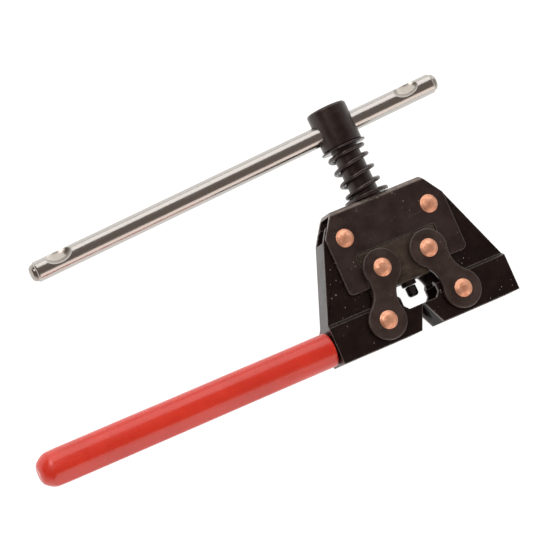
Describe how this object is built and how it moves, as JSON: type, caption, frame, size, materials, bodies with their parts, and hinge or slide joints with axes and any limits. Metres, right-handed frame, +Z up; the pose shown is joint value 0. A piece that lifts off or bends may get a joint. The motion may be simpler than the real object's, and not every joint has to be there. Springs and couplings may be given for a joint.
{
  "type": "roller chain breaker",
  "caption": "Hand tool with hinged jaws that hold a roller chain, a spring-loaded screw that pushes its pin out, a tommy bar and a dipped grip.",
  "frame": {"origin": "under the middle of the whole tool, on the surface it lies on, at the lowest point of the back rivet heads", "axes": "+X from the grip towards the right jaw, +Y along the forcing screw towards its head, +Z up out of the front cheek"},
  "size_m": [0.272, 0.1248, 0.0298],
  "materials": {
    "black_oxide": "black oxide, semi-gloss, worn along its edges",
    "browned_steel": "browned machined steel",
    "copper": "peened copper-plated rivet heads",
    "polished_chrome": "polished",
    "red_vinyl": "dipped glossy vinyl",
    "bare_steel": "hardened ground steel, oiled"
  },
  "bodies": {
    "frame": {"frame_saddle": "black_oxide", "spring_seat": "black_oxide", "return_spring": "black_oxide", "left_frame_rivet": "copper", "right_frame_rivet": "copper"},
    "left_jaw": {"left_jaw": "black_oxide", "left_jaw_insert": "black_oxide", "left_jaw_rivet": "copper", "handle_bar": "black_oxide", "handle_grip": "red_vinyl"},
    "right_jaw": {"right_jaw": "black_oxide", "right_jaw_insert": "black_oxide", "right_jaw_rivet": "copper"},
    "crosshead": {"crosshead_nut": "browned_steel", "left_crosshead_rivet": "copper", "right_crosshead_rivet": "copper"},
    "left_links": {"left_link_front": "black_oxide", "left_link_back": "black_oxide"},
    "right_links": {"right_link_front": "black_oxide", "right_link_back": "black_oxide"},
    "head_washer": {"head_washer": "black_oxide"},
    "screw": {"forcing_screw": "black_oxide", "push_pin": "bare_steel"},
    "tommy_bar": {"tommy_bar": "polished_chrome"}
  },
  "joints": [
    {"name": "left_jaw_pivot", "type": "hinge", "parent": "frame", "child": "left_jaw", "pos_m": [0.053, -0.00408, 0.0149], "axis": [0, 0, -1], "range_deg": [0, 9]},
    {"name": "right_jaw_pivot", "type": "hinge", "parent": "frame", "child": "right_jaw", "pos_m": [0.1022, -0.00408, 0.0149], "axis": [0, 0, 1], "range_deg": [0, 9.2]},
    {"name": "crosshead_slide", "type": "slide", "parent": "frame", "child": "crosshead", "axis": [0, -1, 0], "range_m": [0, 0.0034], "stiffness_N_per_m": 9000, "springref_m": -0.006, "deforming": ["return_spring"]},
    {"name": "left_link_pivot", "type": "hinge", "parent": "crosshead", "child": "left_links", "pos_m": [0.064, -0.02508, 0.0149], "axis": [0, 0, -1], "range_deg": [0, 17.4]},
    {"name": "right_link_pivot", "type": "hinge", "parent": "crosshead", "child": "right_links", "pos_m": [0.0912, -0.02508, 0.0149], "axis": [0, 0, 1], "range_deg": [0, 17.4]},
    {"name": "screw_advance", "type": "slide", "parent": "crosshead", "child": "head_washer", "axis": [0.0297, -0.9996, 0], "range_m": [-0.0036, 0.0062], "deforming": ["return_spring"]},
    {"name": "screw_spin", "type": "hinge", "parent": "head_washer", "child": "screw", "pos_m": [0.07564, 0.04069, 0.0149], "axis": [0.0297, -0.9996, 0], "range_deg": [-720, 1260]},
    {"name": "bar_slide", "type": "slide", "parent": "screw", "child": "tommy_bar", "axis": [0.9968, 0.0593, 0.0541], "range_m": [-0.02, 0.14]}
  ],
  "couplings": [
    {"joint": "right_jaw_pivot", "follows": "left_jaw_pivot", "ratio": 1},
    {"joint": "crosshead_slide", "follows": "left_jaw_pivot", "m_per_rad": 0.02155},
    {"joint": "left_link_pivot", "follows": "left_jaw_pivot", "ratio": 1.92},
    {"joint": "right_link_pivot", "follows": "left_jaw_pivot", "ratio": 1.92},
    {"joint": "screw_advance", "follows": "screw_spin", "m_per_rad": 0.00027852}
  ]
}
